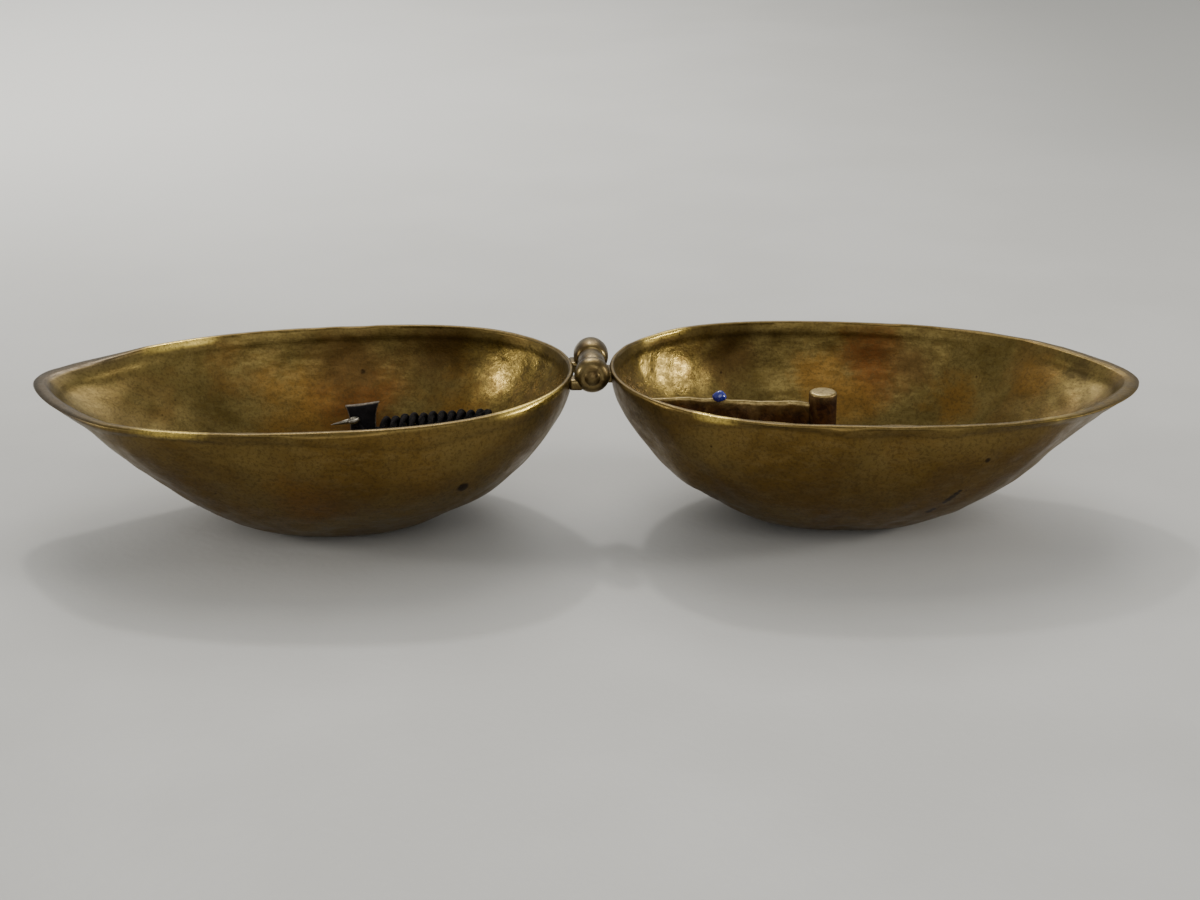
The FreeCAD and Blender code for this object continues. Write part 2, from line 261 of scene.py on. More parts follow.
class Graph:
    """Builds one node material, with coordinates in millimetres of the object's own frame."""

    def __init__(self, name):
        self.material = bpy.data.materials.new(name)
        self.material.use_nodes = True
        self.nodes = self.material.node_tree.nodes
        self.links = self.material.node_tree.links
        self.shader = self.nodes["Principled BSDF"]
        source = self.nodes.new("ShaderNodeTexCoord").outputs["Object"]
        scale = self.nodes.new("ShaderNodeVectorMath")
        scale.operation = "SCALE"
        scale.inputs["Scale"].default_value = 1 / MM
        self.links.new(source, scale.inputs[0])
        self.place = scale.outputs[0]

    def set(self, socket, value):
        """Gives a socket a number, a colour or another node's output."""
        if hasattr(value, "is_linked"):
            self.links.new(value, socket)
        elif isinstance(value, tuple) and len(value) == 3 and socket.type == "RGBA":
            socket.default_value = (*value, 1.0)
        else:
            socket.default_value = value

    def stretch(self, x, y, z):
        """The place, scaled along each axis."""
        node = self.nodes.new("ShaderNodeVectorMath")
        node.operation = "MULTIPLY"
        self.links.new(self.place, node.inputs[0])
        node.inputs[1].default_value = (x, y, z)
        return node.outputs[0]

    def along(self, x, y, z):
        """How far the place lies along a direction."""
        node = self.nodes.new("ShaderNodeVectorMath")
        node.operation = "DOT_PRODUCT"
        self.links.new(self.place, node.inputs[0])
        node.inputs[1].default_value = (x, y, z)
        return node.outputs["Value"]

    def noise(self, size, detail=3.0, roughness=0.55, distortion=0.0, vector=None):
        """Cloudy noise whose features are about size millimetres across."""
        node = self.nodes.new("ShaderNodeTexNoise")
        node.inputs["Scale"].default_value = 1 / size
        node.inputs["Detail"].default_value = detail
        node.inputs["Roughness"].default_value = roughness
        node.inputs["Distortion"].default_value = distortion
        self.links.new(vector or self.place, node.inputs["Vector"])
        return node.outputs["Fac"]

    def cells(self, size, feature="SMOOTH_F1"):
        """Distance from the nearest of points strewn about size millimetres apart."""
        node = self.nodes.new("ShaderNodeTexVoronoi")
        node.feature = feature
        node.inputs["Scale"].default_value = 1 / size
        self.links.new(self.place, node.inputs["Vector"])
        return node.outputs["Distance"]

    def near(self, centre, radius, raggedness=0.9, softness=0.15):
        """A patch with a ragged edge round a place, 1 in its middle and 0 outside."""
        node = self.nodes.new("ShaderNodeVectorMath")
        node.operation = "DISTANCE"
        self.links.new(self.place, node.inputs[0])
        node.inputs[1].default_value = centre
        ragged = self.math("MULTIPLY", self.noise(radius * 0.6, 5.0, 0.7), 2 * radius * raggedness)
        reach = self.math("ADD", node.outputs["Value"], ragged)
        return self.band(reach, radius * (softness + raggedness), radius * (1.1 + raggedness), 1.0, 0.0)

    def attribute(self, name):
        """A value that set_attribute gave the piece."""
        node = self.nodes.new("ShaderNodeAttribute")
        node.attribute_name = name
        return node.outputs["Fac"]

    def math(self, operation, first, second=0.0, clamp=False):
        """One step of arithmetic on two values."""
        node = self.nodes.new("ShaderNodeMath")
        node.operation = operation
        node.use_clamp = clamp
        self.set(node.inputs[0], first)
        self.set(node.inputs[1], second)
        return node.outputs[0]

    def band(self, value, low, high, to_low=0.0, to_high=1.0):
        """A smooth step from to_low at low to to_high at high."""
        node = self.nodes.new("ShaderNodeMapRange")
        node.interpolation_type = "SMOOTHSTEP"
        self.set(node.inputs["Value"], value)
        limits = {"From Min": low, "From Max": high, "To Min": to_low, "To Max": to_high}
        for socket, number in limits.items():
            node.inputs[socket].default_value = number
        return node.outputs["Result"]

    def mix(self, share, first, second):
        """A colour between two others."""
        node = self.nodes.new("ShaderNodeMix")
        node.data_type = "RGBA"
        self.set(node.inputs["Factor"], share)
        self.set(node.inputs["A"], first)
        self.set(node.inputs["B"], second)
        return node.outputs["Result"]

    def bump(self, height, distance, strength=1.0, before=None):
        """Surface relief; distance is its height in millimetres."""
        node = self.nodes.new("ShaderNodeBump")
        node.inputs["Strength"].default_value = strength
        node.inputs["Distance"].default_value = distance * MM
        self.set(node.inputs["Height"], height)
        if before is not None:
            self.links.new(before, node.inputs["Normal"])
        return node.outputs["Normal"]

    def finish(self, **sockets):
        """Sets the shader's sockets and gives back the material."""
        names = {"colour": "Base Color", "metal": "Metallic", "rough": "Roughness", "normal": "Normal",
                 "coat": "Coat Weight", "coat_rough": "Coat Roughness", "specular": "Specular IOR Level"}
        for name, value in sockets.items():
            self.set(self.shader.inputs[names[name]], value)
        return self.material


# ---------------------------------------------------------------- materials

# Colours of the case inside: two shades of olive, rubbed strokes, clouds, and the tip painted paler as light
# and the heel painted paler as glare.
INNER_DARK = (0.084, 0.056, 0.013)
INNER_LIGHT = (0.128, 0.091, 0.027)
INNER_RUBBED = (0.175, 0.128, 0.040)
INNER_CLOUD = (0.105, 0.057, 0.013)
INNER_TIP_LIGHT = (0.205, 0.152, 0.046)
INNER_HEEL_GLARE = (0.300, 0.208, 0.050)
# Colours of the case outside, with a grey sheen painted at the tip.
OUTER_OLIVE = (0.168, 0.112, 0.032)
OUTER_BROWN = (0.124, 0.071, 0.016)
OUTER_WARM = (0.175, 0.105, 0.028)
OUTER_RUBBED = (0.190, 0.130, 0.045)
OUTER_TIP_SHEEN = (0.170, 0.140, 0.085)
OUTER_STAIN = (0.190, 0.085, 0.016)
# Colours of the lip, with its painted highlight and its painted shade at the tips, and of spots, specks and
# grime all over.
LIP_WORN = (0.115, 0.077, 0.021)
LIP_GLINT = (0.640, 0.465, 0.110)
LIP_TIP_SHADE = (0.082, 0.064, 0.044)
SPOT = (0.020, 0.010, 0.003)
SPECK = (0.030, 0.016, 0.005)
GRIME = (0.050, 0.031, 0.009)

# The hinge's brass: bright, dull and dark.
HINGE_BRASS = ((0.165, 0.120, 0.048), (0.088, 0.058, 0.021), (0.035, 0.018, 0.006))

# Stains inside the case, and painted shade on the tips' far facets: middle, radius and colour.
ORANGE = (0.150, 0.076, 0.015)
BROWN = (0.075, 0.041, 0.011)
RED = (0.085, 0.030, 0.006)
TIP_FACET_SHADE = (0.030, 0.018, 0.006)
INNER_STAINS_AND_SHADE = (
    ((-56.0, 25.0, 12.0), 13.0, ORANGE),
    ((-46.0, 26.0, 13.0), 12.0, RED),
    ((-49.0, 29.0, 22.5), 10.0, BROWN),
    ((-30.0, 27.0, 23.0), 12.0, BROWN),
    ((-25.0, 22.0, 13.0), 11.0, ORANGE),
    ((-45.0, 28.0, 18.6), 1.8, BROWN),
    ((57.0, 28.5, 25.0), 7.0, RED),
    ((56.5, 27.5, 19.0), 9.0, RED),
    ((51.0, 26.5, 12.5), 10.0, ORANGE),
    ((45.5, 28.0, 19.0), 6.0, ORANGE),
    ((65.0, 26.0, 21.0), 7.0, BROWN),
    ((73.0, 21.5, 14.5), 7.0, ORANGE),
    ((88.0, 14.5, 21.0), 6.0, ORANGE),
    ((28.0, 27.0, 22.0), 8.0, BROWN),
    # Painted shade on the far facets just inside each tip.
    ((95.0, 9.5, 25.0), 4.0, TIP_FACET_SHADE),
    ((-97.0, 3.0, 25.0), 3.0, TIP_FACET_SHADE),
)
# The one stain outside: middle and radius.
OUTER_STAIN_PLACE = ((-52.0, -27.5, 13.5), 9.0)
# Single dark spots: middle and radius.
DARK_SPOTS = (
    ((-23.7, -23.5, 15.2), 1.3),
    ((69.8, -26.7, 20.7), 0.8),
    ((-81.2, 16.9, 18.1), 0.35),
    ((26.6, 25.8, 19.8), 0.4),
    ((-45.2, 28.0, 20.0), 0.8),
    ((-19.0, 21.0, 19.5), 0.7),
)
# The broken scratch outside the right half: its ends, and each fleck's share of the way and radius.
SCRATCH_LOW = Vector((61.0, -21.0, 8.4))
SCRATCH_HIGH = Vector((65.8, -24.1, 13.8))
SCRATCH_FLECKS = ((0.0, 0.8), (0.14, 0.7), (0.50, 0.7), (0.62, 0.9), (0.75, 0.9), (0.88, 0.8), (1.0, 0.6))
# Spans of the lip painted bright as highlights where it glints, and made smoother there as rubbed wear:
# middle and radius.
POLISHED_GLINT_SPANS = (
    ((-79.0, 20.5, 27.6), 9.0),
    ((14.0, 22.0, 29.4), 7.0),
    ((81.0, -17.5, 27.8), 8.0),
    ((-74.0, -22.0, 27.8), 9.0),
    ((-10.0, -19.0, 29.5), 10.0),
    ((22.0, -24.5, 29.2), 5.0),
)


def inner_colour(g, mottle, cloud, strokes, tip, heel):
    """Olive brass with rubbed strokes and stains, painted paler towards the tip as light and at the hinge end
    as glare.
    """
    colour = g.mix(g.band(mottle, 0.30, 0.70), INNER_DARK, INNER_LIGHT)
    colour = g.mix(g.band(strokes, 0.42, 0.62, 0.0, 0.45), colour, INNER_RUBBED)
    colour = g.mix(g.math("MULTIPLY", g.band(cloud, 0.50, 0.70), 0.8), colour, INNER_CLOUD)
    for centre, radius, stain_and_shade in INNER_STAINS_AND_SHADE:
        colour = g.mix(g.math("MULTIPLY", g.near(centre, radius), 0.85), colour, stain_and_shade)
    # Painted light: the tip is made paler where it catches light, more on the left half than the right.
    colour = g.mix(g.math("MULTIPLY", tip, 0.55), colour, INNER_TIP_LIGHT)
    # Painted highlight: the hinge end inside is painted paler as glare, following the rubbed strokes.
    return g.mix(g.math("MULTIPLY", heel, g.band(strokes, 0.40, 0.60, 0.2, 0.9)), colour, INNER_HEEL_GLARE)


def outer_colour(g, mottle, cloud, strokes, tip):
    """Browner brass outside, painted greyer towards the tip as a reflected sheen."""
    colour = g.mix(g.band(cloud, 0.35, 0.65), OUTER_OLIVE, OUTER_BROWN)
    colour = g.mix(g.band(mottle, 0.45, 0.75, 0.0, 0.6), colour, OUTER_WARM)
    colour = g.mix(g.band(strokes, 0.46, 0.66, 0.0, 0.35), colour, OUTER_RUBBED)
    # Painted reflection: the tip is greyed as a sheen of the table.
    colour = g.mix(g.math("MULTIPLY", tip, 0.6), colour, OUTER_TIP_SHEEN)
    return g.mix(g.math("MULTIPLY", g.near(*OUTER_STAIN_PLACE), 0.5), colour, OUTER_STAIN)


def lip_glint(g, lip):
    """How strongly each place of the lip is painted bright as a highlight."""
    shine = 0.0
    for centre, radius in POLISHED_GLINT_SPANS:
        shine = g.math("MAXIMUM", shine, g.near(centre, radius, 0.4, 0.5))
    return g.math("MULTIPLY", g.band(lip, 0.10, 0.40), shine)


def with_spots(g, colour):
    """A colour with the dark spots, the scratch, fine specks and grime laid over it."""
    scratch = [(SCRATCH_LOW.lerp(SCRATCH_HIGH, share), radius) for share, radius in SCRATCH_FLECKS]
    for centre, radius in (*DARK_SPOTS, *scratch):
        colour = g.mix(g.near(centre, radius, 0.2, 0.6), colour, SPOT)
    speck = g.band(g.cells(3.4, "F1"), 0.05, 0.09, 1.0, 0.0)
    speck = g.math("MULTIPLY", speck, g.band(g.noise(9.0, 2.0), 0.54, 0.62, 0.0, 0.8))
    colour = g.mix(speck, colour, SPECK)
    return g.mix(g.band(g.noise(0.6, 4.0, 0.7), 0.38, 0.54, 0.45, 0.0), colour, GRIME)


def case_relief(g, strokes, heel):
    """Soft hammer cells, lengthwise scratches, hollows that are deeper at the heel, and fine grain."""
    normal = g.bump(g.cells(3.0), 0.12, 0.55)
    scratches = g.noise(1.0, 3.0, 0.5, 0.0, g.stretch(0.12, 1.0, 1.0))
    normal = g.bump(scratches, 0.03, 0.5, normal)
    depth = g.math("ADD", g.math("MULTIPLY", heel, 1.3), 0.35)
    hollows = g.math("MULTIPLY", g.noise(1.6, 4.0, 0.6, 0.4), depth)
    normal = g.bump(hollows, 0.10, 0.7, normal)
    normal = g.bump(strokes, 0.05, 0.55, normal)
    return g.bump(g.noise(0.5, 4.0, 0.65), 0.04, 0.7, normal)


def case_brass():
    """Aged sheet brass: olive inside with stains, browner outside, worn on the lip, with pits and spots, and
    with painted light: highlights on the lip, paler tips and heel, a grey sheen and a shaded lip at the tips,
    and shaded tip facets.
    """
    g = Graph("case_brass")
    lip = g.attribute("lip")
    tip = g.attribute("tip")
    heel = g.attribute("heel")
    cloud = g.noise(26.0, 4.0, 0.6, 1.2)
    mottle = g.noise(7.0, 5.0, 0.60, 0.5)
    strokes = g.noise(1.6, 5.0, 0.65, 0.3, g.stretch(0.45, 1.0, 1.3))
    inner = inner_colour(g, mottle, cloud, strokes, tip, heel)
    outer = outer_colour(g, mottle, cloud, strokes, tip)
    colour = g.mix(g.attribute("inside"), outer, inner)
    colour = g.mix(g.math("MULTIPLY", lip, g.band(mottle, 0.30, 0.60, 0.5, 1.0)), colour, LIP_WORN)
    # Painted highlight: the lip glints bright gold in these spans, which are also rubbed smoother.
    glint = lip_glint(g, lip)
    colour = g.mix(glint, colour, LIP_GLINT)
    # Painted shade: the lip's flange at the tips is darkened as a shaded facet.
    colour = g.mix(g.math("MULTIPLY", lip, g.band(tip, 0.45, 0.9, 0.0, 0.8)), colour, LIP_TIP_SHADE)
    colour = with_spots(g, colour)
    rough = g.math("ADD", g.band(mottle, 0.30, 0.70, 0.36, 0.47), g.band(strokes, 0.35, 0.65, 0.05, -0.05))
    rough = g.math("SUBTRACT", rough, g.math("MULTIPLY", glint, 0.16))
    rough = g.math("SUBTRACT", rough, g.math("MULTIPLY", heel, 0.12), clamp=True)
    return g.finish(colour=colour, metal=0.94, rough=rough, normal=case_relief(g, strokes, heel))


def fitting_brass(name, bright, dull, dark):
    """Brass of the smaller pieces, from three shades."""
    g = Graph(name)
    mottle = g.noise(2.6, 4.0, 0.6, 0.5)
    cloud = g.noise(7.0, 3.0, 0.55, 1.0)
    colour = g.mix(g.band(mottle, 0.38, 0.64), dull, bright)
    colour = g.mix(g.band(cloud, 0.52, 0.68), colour, dark)
    pits = g.band(g.cells(0.9, "F1"), 0.05, 0.16, 1.0, 0.0)
    colour = g.mix(g.math("MULTIPLY", pits, 0.6), colour, dark)
    rough = g.band(mottle, 0.30, 0.70, 0.44, 0.28)
    normal = g.bump(g.noise(1.2, 3.0, 0.6), 0.05, 0.6)
    normal = g.bump(g.noise(0.25, 3.0, 0.6), 0.015, 0.6, normal)
    return g.finish(colour=colour, metal=0.95, rough=rough, normal=normal)


def turned_brass():
    """Lathe-turned brass of the pans and weights, with fine rings."""
    g = Graph("turned_brass")
    lines = g.noise(0.32, 2.0, 0.5, 0.0, g.stretch(0.05, 0.05, 1.0))
    mottle = g.noise(3.5, 4.0, 0.6, 0.6)
    cloud = g.noise(11.0, 3.0, 0.6, 1.0)
    colour = g.mix(g.band(mottle, 0.35, 0.65), (0.150, 0.102, 0.030), (0.245, 0.175, 0.058))
    colour = g.mix(g.band(cloud, 0.54, 0.70), colour, (0.085, 0.046, 0.012))
    rough = g.band(mottle, 0.3, 0.7, 0.42, 0.28)
    normal = g.bump(lines, 0.02, 0.6)
    normal = g.bump(g.noise(0.4, 3.0, 0.6), 0.012, 0.5, normal)
    return g.finish(colour=colour, metal=0.96, rough=rough, normal=normal)


def dull_steel():
    """Iron-grey steel with brown bloom."""
    g = Graph("dull_steel")
    mottle = g.noise(1.4, 4.0, 0.6, 0.4)
    colour = g.mix(g.band(mottle, 0.36, 0.66), (0.13, 0.118, 0.095), (0.24, 0.215, 0.170))
    colour = g.mix(g.band(g.noise(4.0, 3.0, 0.6, 1.0), 0.56, 0.70), colour, (0.12, 0.075, 0.045))
    rough = g.band(mottle, 0.3, 0.7, 0.46, 0.30)
    return g.finish(colour=colour, metal=0.95, rough=rough, normal=g.bump(g.noise(0.3, 3.0, 0.6), 0.015, 0.6))


def navy_yarn():
    """Dark navy twisted yarn, painted darker as shade in the grooves between its plies, with pale flecks that
    are partly worn fibres and partly painted highlights.
    """
    g = Graph("navy_yarn")
    ply = g.attribute("ply")
    fibre = g.noise(0.16, 3.0, 0.6, 0.3)
    # Painted shade: the grooves between the plies are darker than their crests.
    colour = g.mix(g.band(ply, 0.25, 0.95), (0.0015, 0.001, 0.001), (0.006, 0.004, 0.0045))
    # Pale flecks: partly worn fibres, partly painted highlights.
    colour = g.mix(g.math("MULTIPLY", g.band(fibre, 0.60, 0.70), 0.45), colour, (0.16, 0.12, 0.07))
    return g.finish(colour=colour, rough=0.80, specular=0.15, normal=g.bump(fibre, 0.12, 1.0))


def black_leather():
    """Stiff black leather with a fine grain; the cut edges are pale."""
    g = Graph("black_leather")
    edge = g.attribute("edge")
    mottle = g.noise(1.6, 3.0, 0.6)
    colour = g.mix(g.band(mottle, 0.35, 0.7), (0.003, 0.002, 0.003), (0.009, 0.007, 0.008))
    pale = g.mix(g.band(g.noise(0.6, 3.0, 0.6), 0.35, 0.65), (0.085, 0.068, 0.050), (0.190, 0.155, 0.115))
    colour = g.mix(edge, colour, pale)
    return g.finish(colour=colour, rough=0.62, specular=0.20, normal=g.bump(g.cells(0.42), 0.05, 0.6))


def blue_glaze():
    """Royal blue glazed bead with paler swirls."""
    g = Graph("blue_glaze")
    swirl = g.noise(0.9, 3.0, 0.6, 1.5)
    colour = g.mix(g.band(swirl, 0.48, 0.68), (0.006, 0.009, 0.19), (0.05, 0.08, 0.42))
    return g.finish(colour=colour, rough=0.16, coat=0.7, coat_rough=0.06,
                    normal=g.bump(g.noise(0.5, 2.0, 0.5), 0.05, 0.6))


def table_top():
    """Pale table with a fine leather grain, with painted light far on the left and painted shade far on the
    right.
    """
    g = Graph("table_top")
    colour = g.mix(g.band(g.noise(60.0, 3.0, 0.5), 0.35, 0.65), (0.430, 0.422, 0.396), (0.465, 0.457, 0.432))
    across = g.along(1, 0, 0)
    far = g.band(g.along(0, 1, 0), 20, 380)
    # Painted light far on the left and painted shade far on the right.
    far_left_light = g.math("MULTIPLY", far, g.band(across, -260, 120, 1.0, 0.15))
    far_right_shade = g.math("MULTIPLY", far, g.band(across, 20, 240))
    colour = g.mix(far_left_light, colour, (0.90, 0.89, 0.85))
    colour = g.mix(far_right_shade, colour, (0.31, 0.307, 0.288))
    normal = g.bump(g.cells(1.5), 0.10, 0.30)
    normal = g.bump(g.noise(2.2, 4.0, 0.6, 0.8), 0.14, 0.35, normal)
    return g.finish(colour=colour, rough=0.52, normal=normal)


# ---------------------------------------------------------------- the two halves of the case

def half_outline(first, last, breadth, sharpness):
    """Places round one level, as lengths from the hinge axis and half breadths, AROUND of them."""
    turn = np.linspace(0, 2 * math.pi, AROUND, endpoint=False)
    side = np.where(turn <= math.pi, -1.0, 1.0)
    way = np.where(turn <= math.pi, turn, 2 * math.pi - turn)
    centre = first + WIDEST_SHARE * (last - first)
    hinge_part = way <= math.pi / 2
    share = np.where(hinge_part, np.cos(np.minimum(way, math.pi / 2)),
                     np.sin(np.maximum(way, math.pi / 2) - math.pi / 2))
    along = np.where(hinge_part, centre - (centre - first) * share, centre + (last - centre) * share)
    room = 1 - np.where(hinge_part, share ** HINGE_END_POWER, share ** TIP_POWER)
    power = np.where(hinge_part, 0.5, sharpness)
    return along, side * breadth * np.maximum(room, 0) ** power


def beak_share(share):
    """0 outside the beak, rising to 1 at its tip, from a share of the half's length."""
    return np.clip((share - BEAK_START) / (1 - BEAK_START), 0, 1)


def level_ring(angle, inset, outward=0.0):
    """One ring of a half in its own tilted frame, pushed outward in its plane."""
    half_turn = math.sin(angle / 2)
    pinch = math.exp(-FULL_DEPTH * math.sin(angle) / BEAK_PINCH_DEPTH) if inset else 0.0
    first = HINGE_GAP + HINGE_SWEEP * half_turn ** HINGE_SWEEP_POWER + inset
    last = HINGE_GAP + HALF_LENGTH - TIP_SWEEP * half_turn - inset - BEAK_PINCH * pinch
    breadth = (HALF_WIDTH - inset) * math.cos(angle)
    along, across = half_outline(first, last, breadth, TIP_SHARPNESS + INNER_SHARPNESS * pinch)
    narrowing = BEAK_NARROWING + INNER_NARROWING * pinch
    across = across * (1 - narrowing * beak_share((along - first) / (last - first)))
    forward = np.stack([np.roll(along, -1) - np.roll(along, 1), np.roll(across, -1) - np.roll(across, 1)], 1)
    forward /= np.maximum(np.linalg.norm(forward, axis=1), 1e-9)[:, None]
    along = along + forward[:, 1] * outward
    across = across - forward[:, 0] * outward
    level = np.full(AROUND, -(FULL_DEPTH - inset) * math.sin(angle))
    return np.stack([along, across, level], 1)


def share_along(ring):
    """How far each point of a ring lies from the hinge end to the tip, 0 to 1."""
    return np.clip((ring[:, 0] - HINGE_GAP) / HALF_LENGTH, 0, 1)


def smooth_step(values, low, high):
    """A smooth step from 0 at low to 1 at high."""
    share = np.clip((values - low) / (high - low), 0, 1)
    return share * share * (3 - 2 * share)


def tilted(vectors, side):
    """Vectors turned from a half's own frame into the object's."""
    along = (vectors[:, 0] * math.cos(DROOP) + vectors[:, 2] * math.sin(DROOP)) * side
    up = vectors[:, 2] * math.cos(DROOP) - vectors[:, 0] * math.sin(DROOP)
    return np.stack([along, vectors[:, 1], up], 1)


def case_rings(side):
    """Rings from the foot up the outer wall, over the lip and down the inner wall, in the half's own frame.

    With them come two lists: where each ring lies, 0 outside, 0.5 on the lip and 1 inside, and its depth.
    """
    lean = np.linspace(0, 1, LEVELS)
    angles = LOWEST_RING * (0.35 * lean + 0.65 * lean ** 1.6)
    rim = level_ring(0.0, 0.0)
    beak = smooth_step(share_along(rim), BEAK_START, 1.0)
    band = LIP_BAND * (1 + 0.35 * ripple(rim, 34.0, 5 + side)) + 1.2 * beak
    flare = LIP_FLARE * smooth_step(share_along(rim), 0.02, 0.16) + BEAK_FLARE * beak
    thinning = LIP_THINNING * (1 - beak)
    rings, inside, depth = [], [], []
    for angle in angles[:0:-1]:
        sink = FULL_DEPTH * math.sin(angle)
        ring = level_ring(angle, 0.0, flare * np.sqrt(np.clip(1 - sink / band, 0, 1)))
        ring[:, 2] -= LIP_ROUND * math.exp(-sink / LIP_FADE)
        rings.append(ring)
        inside.append(0.0)
        depth.append(sink / FULL_DEPTH)
    outer_edge = level_ring(0.0, 0.0, flare)
    inner_edge = level_ring(0.0, WALL, thinning)
    for share, fall in LIP_SECTION:
        edge = outer_edge * (1 - share) + inner_edge * share
        edge[:, 2] -= fall * LIP_ROUND
        rings.append(edge)
        inside.append(0.5)
        depth.append(0.0)
    for angle in angles[1:]:
        sink = (FULL_DEPTH - WALL) * math.sin(angle)
        step = SEAT_STEP / (1 + math.exp((SEAT_DEPTH - sink) / 0.18))
        undercut = BEAK_UNDERCUT * beak * math.exp(-((sink - BEAK_UNDERCUT_DEPTH) / 1.5) ** 2)
        rings.append(level_ring(angle, WALL, step + undercut + thinning * math.exp(-sink / LIP_FADE)))
        inside.append(1.0)
        depth.append(sink / FULL_DEPTH)
    return rings, inside, depth


def outward_normals(points, count, on_lip):
    """Directions away from the middle of a half, square to its surface, and straight up on the lip."""
    grid = points.reshape(count, AROUND, 3)
    around = np.roll(grid, -1, axis=1) - np.roll(grid, 1, axis=1)
    normal = np.cross(around, np.gradient(grid, axis=0)).reshape(-1, 3)
    normal /= np.maximum(np.linalg.norm(normal, axis=1), 1e-9)[:, None]
    facing = np.sum(normal * (points - np.array([HALF_LENGTH / 2, 0, 0])), axis=1)
    normal *= np.where(facing < 0, -1.0, 1.0)[:, None]
    normal[on_lip] = np.array([0.0, 0.0, 1.0])
    return normal


def hammered_height(points, placed, depth, on_lip, side):
    """How far hammering and dents move each point outward; the lip is never raised."""
    height = WARP_HEIGHT * ripple(points, 42.0, 11 + side) + BUMP_HEIGHT * ripple(points, 15.0, 21 + side)
    height += HAMMER_HEIGHT * ripple(points, 5.5, 31 + side)
    height *= 0.45 + 0.55 * np.clip(depth * FULL_DEPTH / 6, 0, 1)
    for centre, radius, sunk in DENTS[side]:
        away = np.linalg.norm(placed - np.array(centre), axis=1) / radius
        height -= sunk * np.exp(-away ** 2) * np.where(on_lip, 0.3, 1.0)
    return np.where(on_lip, np.minimum(height, 0.0), height)


def settled(heights, floor):
    """Heights eased onto the foot's plane, with a soft round where the wall meets it."""
    above = heights - floor
    eased = 0.5 * (above + np.sqrt(above ** 2 + FOOT_BLEND ** 2))
    eased -= 0.5 * FOOT_BLEND * np.exp(-np.abs(above) / FOOT_BLEND)
    return floor + np.maximum(eased, 0)


def case_half(side):
    """Points, faces and shading values of one half: outer wall, lip, inner wall and floor."""
    rings, inside, depth = case_rings(side)
    points = np.concatenate(rings)
    count = len(rings)
    inside = np.repeat(inside, AROUND)
    depth = np.repeat(depth, AROUND)
    on_lip = inside == 0.5
    placed = tilted(points, side)
    placed[:, 2] += RIM_HEIGHT
    height = hammered_height(points, placed, depth, on_lip, side)
    hold_foot = np.clip((0.93 - depth) / 0.12, 0, 1)
    placed += tilted(outward_normals(points, count, on_lip), side) * (height * hold_foot)[:, None]
    outward, back, up = TIP_BEND[side]
    placed += np.outer(beak_share(share_along(points)) ** BEAK_BEND_POWER, (side * outward, back, up))
    placed[:, 2] = settled(placed[:, 2], np.where(inside > 0.75, WALL, 0.0))
    faces = grid_faces(count, AROUND, True)
    faces.append(tuple(range(AROUND)))
    faces.append(tuple(range((count - 1) * AROUND, count * AROUND)))
    return placed, faces, inside, depth, share_along(points)


def make_case_half(name, side, body, node, material):
    """One hammered half of the case as a piece."""
    points, faces, inside, depth, along = case_half(side)
    piece = new_mesh(name, points, faces)
    face_outward(piece)
    set_attribute(piece, "inside", inside)
    set_attribute(piece, "lip", np.exp(-depth * FULL_DEPTH / 0.7))
    # The tip value places the light and shade painted at each tip; the right tip gets less.
    set_attribute(piece, "tip", smooth_step(along, 0.70, 0.97) * TIP_LIGHT_AND_SHADE[side])
    heel = smooth_step(along, 0.26, 0.08) * (inside > 0.8) * smooth_step(depth, 0.02, 0.12)
    set_attribute(piece, "heel", heel)
    return attach(piece, body, "case_brass", material, node)


# ---------------------------------------------------------------- post, partition and bead

def sheet_top(x):
    """Height of the partition's top edge."""
    return SHEET_TOP_AT_POST + SHEET_RISE * (POST_X - x) / (POST_X - HINGE_GAP)


def inner_floor(x):
    """Height of the right half's inner surface on its middle line."""
    low, high = 0.0, LOWEST_RING
    for _ in range(40):
        angle = (low + high) / 2
        half_turn = math.sin(angle / 2)
        if HINGE_GAP + HINGE_SWEEP * half_turn ** HINGE_SWEEP_POWER + WALL < x:
            low = angle
        else:
            high = angle
    level = RIM_HEIGHT - (FULL_DEPTH - WALL) * math.sin(low) - x * math.sin(DROOP)
    return max(WALL, level)


def make_partition(material):
    """The sheet on edge, a little wavy, with a worn and uneven top."""
    columns, rows = 90, 26
    start, end = 4.9, POST_X - POST_RADIUS + 0.6
    front, back = [], []
    for row in range(rows):
        for column in range(columns):
            x = start + (end - start) * column / (columns - 1)
            bottom = inner_floor(x) - 0.5
            z = bottom + (sheet_top(x) - bottom) * row / (rows - 1)
            front.append((x, -SHEET / 2, z))
            back.append((x, SHEET / 2, z))
    front = np.array(front)
    back = np.array(back)
    sway = 0.16 * ripple(front * np.array([1, 0, 1]), 16.0, 41)
    top = np.repeat(np.linspace(0, 1, rows), columns) ** 6
    wear = top * 0.14 * ripple(front * np.array([1, 0, 0]), 6.0, 42)
    for surface, side in ((front, -1), (back, 1)):
        surface[:, 1] += sway + side * 0.05 * ripple(surface, 2.2, 43 + side) - side * 0.12 * top
        surface[:, 2] += wear
    points = np.concatenate([front, back])
    faces = grid_faces(rows, columns, False)
    size = rows * columns
    faces += [tuple(size + i for i in reversed(face)) for face in faces]
    border = [i for i in range(columns)] + [row * columns + columns - 1 for row in range(1, rows)]
    border += [(rows - 1) * columns + column for column in range(columns - 2, -1, -1)]
    border += [row * columns for row in range(rows - 2, 0, -1)]
    for i, first in enumerate(border):
        second = border[(i + 1) % len(border)]
        faces.append((second, first, size + first, size + second))
    piece = new_mesh("partition_sheet", points, faces)
    # The edge value marks the sheet's top, where a highlight is painted.
    set_attribute(piece, "edge", np.concatenate([top, top]) ** 4)
    return attach(piece, "right_half", "dark_brass", material, "partition")


